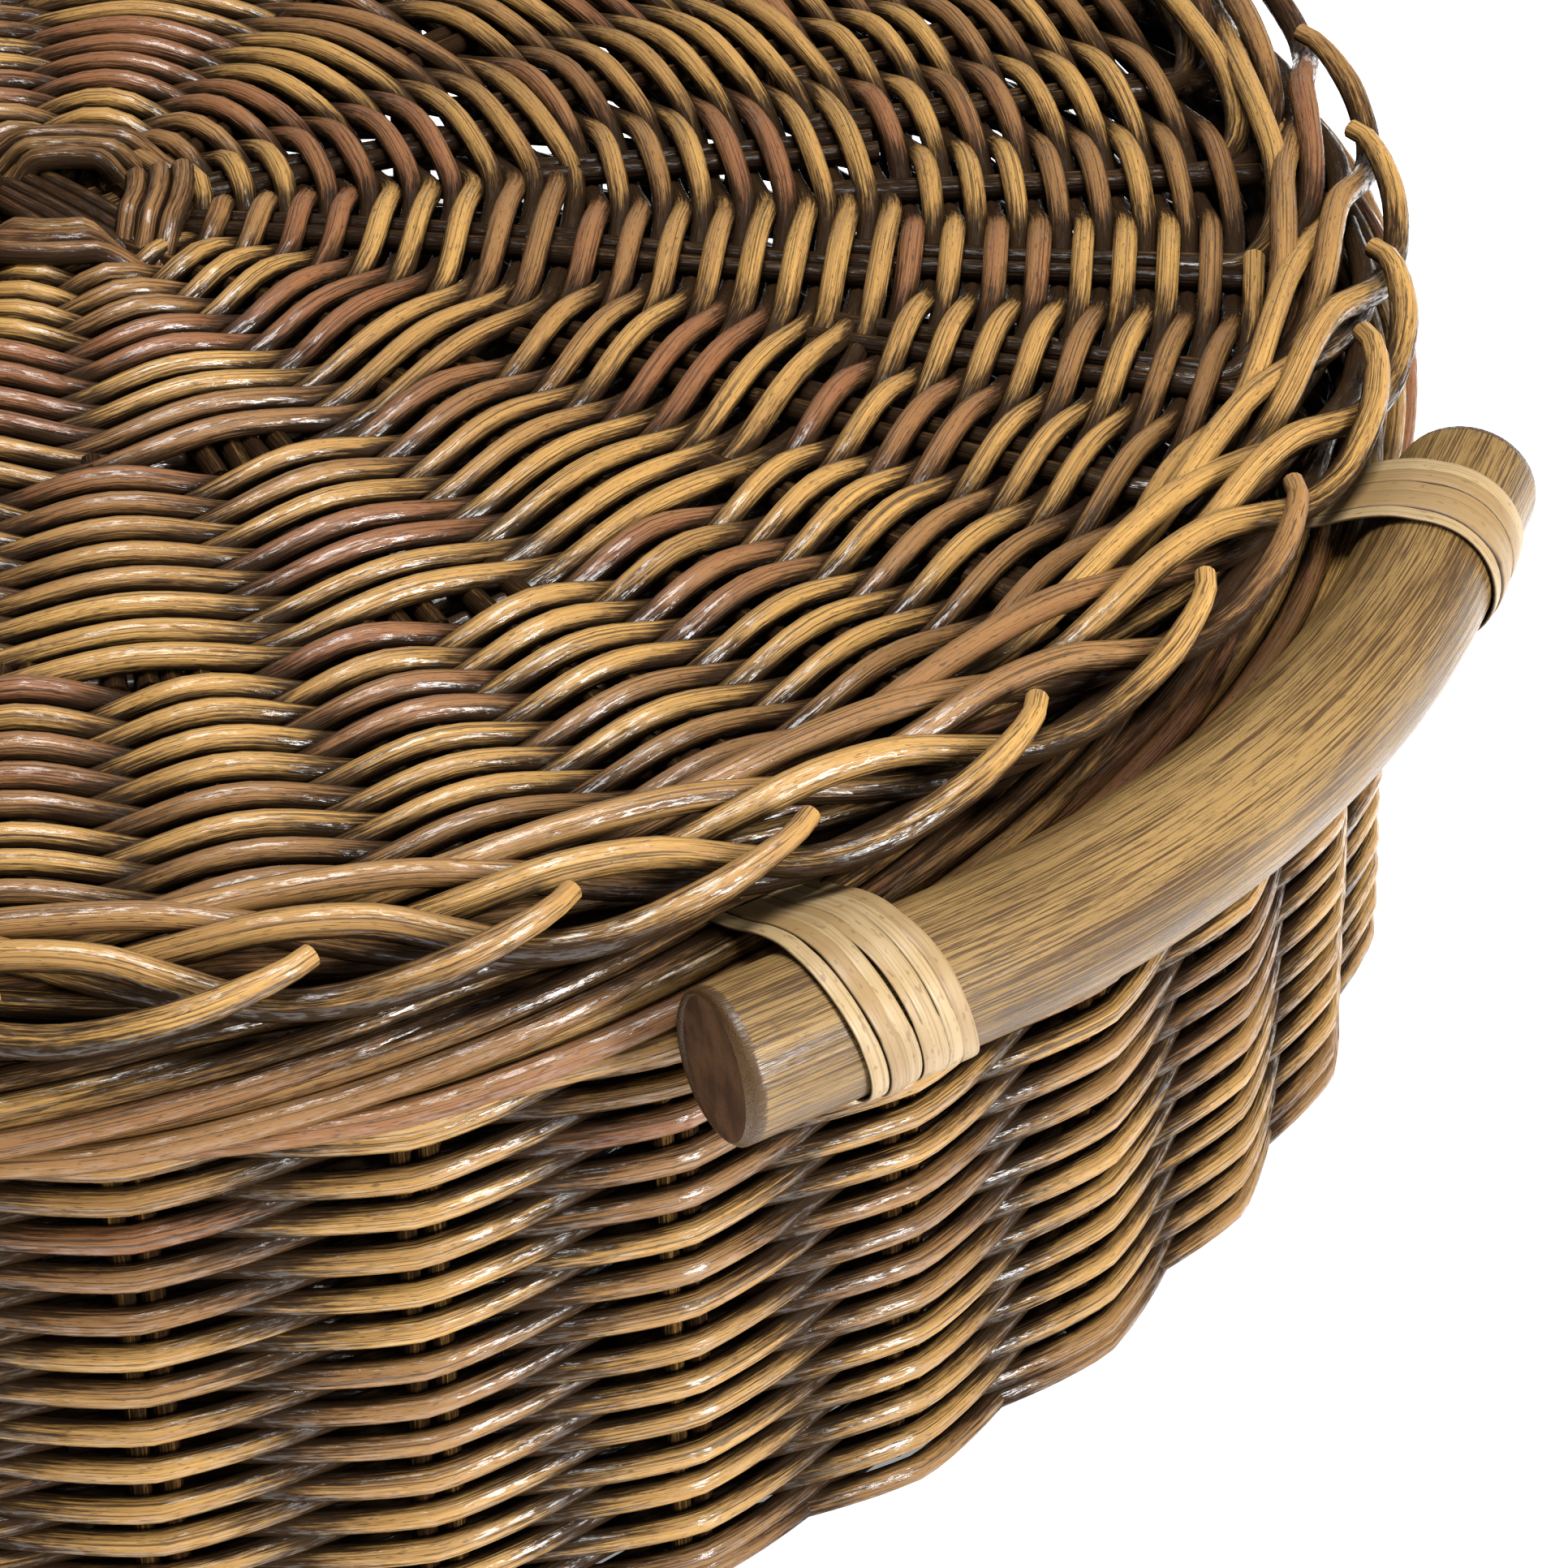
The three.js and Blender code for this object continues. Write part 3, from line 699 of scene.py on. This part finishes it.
stakes = Strands()
rim = Strands()
for k in range(COLUMNS):
    a = WALL_FIRST + 360 * k / COLUMNS + rng.uniform(-0.25, 0.25)
    for side in (-1, 1):
        z = np.linspace(5, 114, 16) * MM
        degrees = np.full(16, a + side * HALF_APART) + wander(z / MM, 40, 0.12)
        path = turned(wall_radius(z), degrees, 0)
        path[:, 2] = z
        out = turned(1.0, np.full(16, a), 0)
        # The stakes lie behind the weavers, so a crown of ROD paints them dark: stain and painted shade.
        stakes.add(path, out, ROD / 2 * 0.98, rng.uniform(0.2, 0.9), ROD, sides=8)
        points = []
        shift, lean = rng.uniform(-0.5, 0.5), rng.uniform(-0.5, 0.5)
        for i, (turn, r, h) in enumerate(RIM_ROD):
            share = smooth(0, 4, i)
            # The two rods start side by side, and one comes to lie inside the other and above it.
            inner = (side < 0) * share
            radius = (r - 3.6 * inner + lean * share) * MM
            degrees = np.array([a + side * HALF_APART * (1 - share) + turn + shift * share])
            points.append(turned(radius, degrees, (h + 2.4 * inner) * MM)[0])
        path = curve(points, 44)
        out = unit(path * np.array([1, 1, 0])) + np.array([0, 0, 0.5])
        # Stain and painted shade: the further in a rim rod lies, the darker it is painted.
        far_in = np.clip(RIM_OUTSIDE - np.hypot(path[:, 0], path[:, 1]), 0, 8 * MM)
        rim.add(path, out, ROD / 2, rod_tone(), far_in, sides=10, darkest=14 * MM)
stakes.piece("wall_stakes", STAKE, "basket", "rattan_stakes",
             [f"wall_stake_{k + 1:02d}" for k in range(COLUMNS)])
rim.piece("rim_rods", WEAVER, "basket", "rattan_weavers", ["rim_border"])

# ---------------------------------------------------------------- hoop under the lid

hoop = Strands()
low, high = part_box("lid_hoop")
hoop_height = (low.z + high.z) / 2
HOOP_RADIUS = 246.5 * MM
HOOP_ROD = 7.8 * MM
ring = turned(HOOP_RADIUS, np.linspace(0, 360, 181), hoop_height)
# The hoop's upper side, under the lid, is painted darker: painted shade.
hoop.add(ring, (0, 0, -1), HOOP_ROD / 2, 0.5, 3 * MM, sides=10)
hoop.piece("lid_hoop_rod", STAKE, "lid", "rattan_stakes", ["lid_hoop"])


def hoop_tie(index):
    """Three laps of dark stained peel round the hoop, going up into the weave at the top."""
    strands = Strands()
    out, along = turned(1.0, np.array([45.0, 135.0]) + 90 * index, 0)
    middle = HOOP_RADIUS * out + np.array([0, 0, hoop_height])
    for lap in (-1, 0, 1):
        t = np.radians(np.linspace(130, 410, 24))
        round_hoop = np.outer(np.cos(t), out) + np.outer(np.sin(t), (0, 0, 1.0))
        drift = lap * 3.9 * MM + wander(np.degrees(t), 90, 0.3 * MM)
        path = middle + round_hoop * (HOOP_ROD / 2 + 0.7 * MM) + np.outer(drift, along)
        strands.add(path, round_hoop, 1.9 * MM, rng.uniform(), 0,
                    sides=16, flat=0.25, square=0.5, bias=0.6)
    strands.piece(f"hoop_tie_{index + 1}", PEEL, "lid", "rattan_peel", [f"lid_hoop_tie_{index + 1}"])


for index in range(4):
    hoop_tie(index)

# ---------------------------------------------------------------- handles

POLE_RADIUS = 13.5 * MM
POLE_HEIGHT = 126 * MM
POLE_SIDES = 40
POLE_STRAIGHT = 14 * MM  # from the end of the arc to the binding
AT_BINDING = 285.2 * MM  # from the basket's middle to the pole's centre at a binding
BINDING_TURN = 17.5  # degrees from +X to a binding
POLE_STUB = 31.3 * MM  # from the binding to the sawn end at -Y
POLE_FAR_STUB = 26.0 * MM  # and at +Y
SAW_SLOPE = math.tan(math.radians(5))  # the ends are sawn a little off square
SAWN_EDGE = 1.4 * MM  # how far the edge of a sawn end is rubbed round


def pole_line(count):
    """The pole's centre line, from the end at -Y to the end at +Y: straight ends and one arc between."""
    turn = math.radians(BINDING_TURN)
    along = np.array([-math.sin(turn), math.cos(turn)])
    binding = AT_BINDING * np.array([math.cos(turn), math.sin(turn)])
    arc_end = binding - POLE_STRAIGHT * along
    # The ends are drawn in a little, because the sloping cut reaches further.
    near, far = (binding + (stub - 0.4 * MM) * along for stub in (POLE_STUB, POLE_FAR_STUB))
    arc_radius = arc_end[1] / math.sin(turn)
    centre = arc_end[0] - arc_radius * math.cos(turn)
    a = turn * np.linspace(0, 1, 9)
    half = np.vstack([np.stack([centre + arc_radius * np.cos(a), arc_radius * np.sin(a)], -1), binding])
    whole = np.vstack([near * [1, -1], half[:0:-1] * [1, -1], half, far])
    return curve(np.column_stack([whole, np.full(len(whole), POLE_HEIGHT)]), count)


def handle(name, flip):
    """A pole with sawn ends. flip is 1 for the one at +X, and -1 for the same pole turned to -X."""
    body = pole_line(90) * np.array([flip, flip, 1.0])
    radius = np.full(len(body), POLE_RADIUS) + wander(np.arange(len(body)), 14, 0.25 * MM)
    first, last = body[0], body[-1]
    before = unit(first - body[1])
    after = unit(last - body[-2])
    # The sawn ends have their edges rubbed round.
    steps = np.array([0.3, 0.65, 1.0]) * math.pi / 2
    back = SAWN_EDGE * (np.sin(steps) - 1)
    rounded = POLE_RADIUS - SAWN_EDGE * (1 - np.cos(steps))
    body = np.vstack([first + np.outer(back[::-1], before), body[1:-1], last + np.outer(back, after)])
    radius = np.concatenate([rounded[::-1], radius[1:-1], rounded])
    # Stain is thickest on the rubbed edge.
    ends = np.zeros(len(body))
    ends[:3] = ends[-3:] = 180 * MM
    strands = Strands()
    # The depth below the top also paints the underside a little darker: painted shade.
    strands.add(body, (0, 0, 1.0), radius, 0.3, ends, sides=POLE_SIDES, darkest=200 * MM, under=0.0)
    # The sloping cut slides an end's points along the pole, further towards its outer side.
    for end, axis in ((first, before), (last, after)):
        across = np.cross(axis, (0, 0, 1.0))
        outwards = across * np.sign(across @ end)
        for points in strands.points:
            off = points - end
            out = off @ outwards
            beside = np.linalg.norm(off - np.outer(out, outwards), axis=1)
            near_end = 1 - smooth(2 * MM, 16 * MM, beside - POLE_RADIUS)
            near_end = near_end * (np.linalg.norm(off, axis=1) < 32 * MM)
            points += np.outer(near_end * SAW_SLOPE * out, axis)
    made = strands.piece(f"{name}_cane", CANE, "basket", "cane_pole", [f"{name}_pole"])
    made.data.materials.append(END_GRAIN)
    faces = made.data.polygons
    # The last faces to be added are the two ends.
    for face in faces:
        if face.index >= len(faces) - POLE_SIDES:
            face.material_index = 1
            face.use_smooth = False


BINDING_WIDTH = 20.5 * MM
OVERLAP = 1.1  # a strip is this much wider than its share, so that it laps over the next
# Where a strip comes out through the wall and up to the pole, and where it goes back in below:
# millimetres outwards and upwards from the pole's centre.
LEAD_IN = np.array([[-26, 6.6], [-19, 9.2], [-12.5, 12.2], [-6, 14.1]]) * MM
LEAD_OUT = np.array([[-15, -5.5], [-19, -1]]) * MM


def binding(name, node, side, flip, strips, slant):
    """Flat strips of peel wound round the pole and in through the wall under the rim. side is 1 for
    the binding at +Y and -1 for the one at -Y, and flip is as it is for the pole."""
    strands = Strands()
    turned_round = np.array([flip, flip, 1.0])
    a = math.radians(side * BINDING_TURN)
    out = np.array([math.cos(a), math.sin(a), 0.0])
    along = np.array([-math.sin(a), math.cos(a), 0.0])
    centre = AT_BINDING * out + np.array([0, 0, POLE_HEIGHT])
    shares = rng.uniform(0.75, 1.25, strips)
    places = (np.cumsum(shares) - shares / 2) / shares.sum() - 0.5
    for i in range(strips):
        width = (shares[i] / shares.sum() * BINDING_WIDTH) * OVERLAP
        across = places[i] * BINDING_WIDTH
        # Up from the wall, over the pole and down again; 0 degrees faces straight out.
        t = np.radians(np.linspace(92, -138, 34))
        reach = POLE_RADIUS + (0.75 + 0.25 * (i % 2)) * MM + 0.15 * MM * rng.uniform()
        lap = reach * np.stack([np.cos(t), np.sin(t)], -1)
        drift = slant * np.sin(t) + wander(np.degrees(t), 55, 0.55 * MM)
        drift = np.pad(drift, (len(LEAD_IN), len(LEAD_OUT)), "edge")
        xz = np.vstack([LEAD_IN, lap, LEAD_OUT])
        path = centre + xz[:, :1] * out + xz[:, 1:] * np.array([0, 0, 1.0])
        path = curve(path + (across + drift)[:, None] * along, 60) * turned_round
        facing = path - centre * turned_round
        facing = facing - (facing @ along)[:, None] * along
        # On top, a strip faces more upwards than outwards.
        facing[path[:, 2] > POLE_HEIGHT + 5 * MM] += np.array([0, 0, 12 * MM])
        # The crown is negative, so that only the back and the edges of a strip are painted dark: painted
        # shade on the hidden back, and darker edges.
        strands.add(path, unit(facing), width / 2, rng.uniform(0, 1), -0.4 * width,
                    sides=16, flat=0.2, square=0.5, darkest=0.5 * MM,
                    bias=rng.uniform(-0.1, 0.1), under=0.3)
    strands.piece(name, PEEL, "basket", "rattan_peel", [node])


for name, flip in (("handle_right", 1.0), ("handle_left", -1.0)):
    handle(name, flip)
    binding(f"{name}_peel_a", f"{name}_binding_a", 1, flip, 5, -2.0 * MM)
    binding(f"{name}_peel_b", f"{name}_binding_b", -1, flip, 7, -3.6 * MM)

# ---------------------------------------------------------------- floor, light and camera


def floor_material():
    """A matt white paper sweep, lit a little from behind."""
    made, tree = new_tree("matt white paper")
    place = put(tree, "TexCoord", give="Object")
    # The paper's tooth is too fine to see, and drawn 3 mm across.
    tooth = put(tree, "TexNoise", {"Vector": place, "Scale": 1 / (3 * MM), "Detail": 2.0}, "Fac")
    put(tree, "OutputMaterial", {"Surface": put(tree, "BsdfPrincipled", {
        "Base Color": layered(tree, colour("#FFFFFF"), (tooth, 0.3, 0.7, 1.0, colour("#FBFBFB"))),
        "Roughness": 0.9, "Emission Color": colour("#FFFFFF"), "Emission Strength": 0.3})})
    return made


bpy.ops.mesh.primitive_plane_add(size=12)
floor = bpy.context.object
floor.name = "paper_sweep"
floor.data.materials.append(floor_material())

world = bpy.data.worlds.new("white studio")
world.use_nodes = True
back = world.node_tree.nodes["Background"]
back.inputs["Color"].default_value = (1.0, 1.0, 1.0, 1.0)
back.inputs["Strength"].default_value = 0.3
bpy.context.scene.world = world


def softbox(name, place, aim, size, watts):
    """A rectangular light at place, turned towards aim."""
    light = bpy.data.lights.new(name, "AREA")
    light.shape = "RECTANGLE"
    light.size, light.size_y = size
    light.energy = watts
    made = bpy.data.objects.new(name, light)
    made.location = place
    made.rotation_euler = (Vector(aim) - Vector(place)).to_track_quat("-Z", "Y").to_euler()
    bpy.context.scene.collection.objects.link(made)


softbox("overhead_softbox", (0.3, 0.0, 1.7), (0.15, -0.05, 0.1), (0.9, 0.8), 54)
softbox("side_softbox", (1.75, -0.05, 0.62), (0.2, -0.05, 0.06), (0.4, 0.6), 52)

# The camera stands off the near side of one handle, looking down at the lid's near quarter.
AIM = Vector((0.2449, -0.0741, 0.151))
CAMERA_AZIMUTH = -51.927  # degrees from +X
CAMERA_ELEVATION = 34.856  # degrees above the floor's plane
CAMERA_AWAY = 0.7968  # metres from the aim
LENS = 112.07  # millimetres, on a sensor 36 wide
ROLL = 0.313  # degrees
az, el = math.radians(CAMERA_AZIMUTH), math.radians(CAMERA_ELEVATION)
towards = Vector((math.cos(el) * math.cos(az), math.cos(el) * math.sin(az), math.sin(el)))
lens = bpy.data.cameras.new("camera")
lens.sensor_width = 36
lens.lens = LENS
camera = bpy.data.objects.new("camera", lens)
camera.location = AIM + towards * CAMERA_AWAY
camera.rotation_euler = (-towards).to_track_quat("-Z", "Y").to_euler()
camera.rotation_euler.rotate_axis("Z", math.radians(-ROLL))
bpy.context.scene.collection.objects.link(camera)
bpy.context.scene.camera = camera
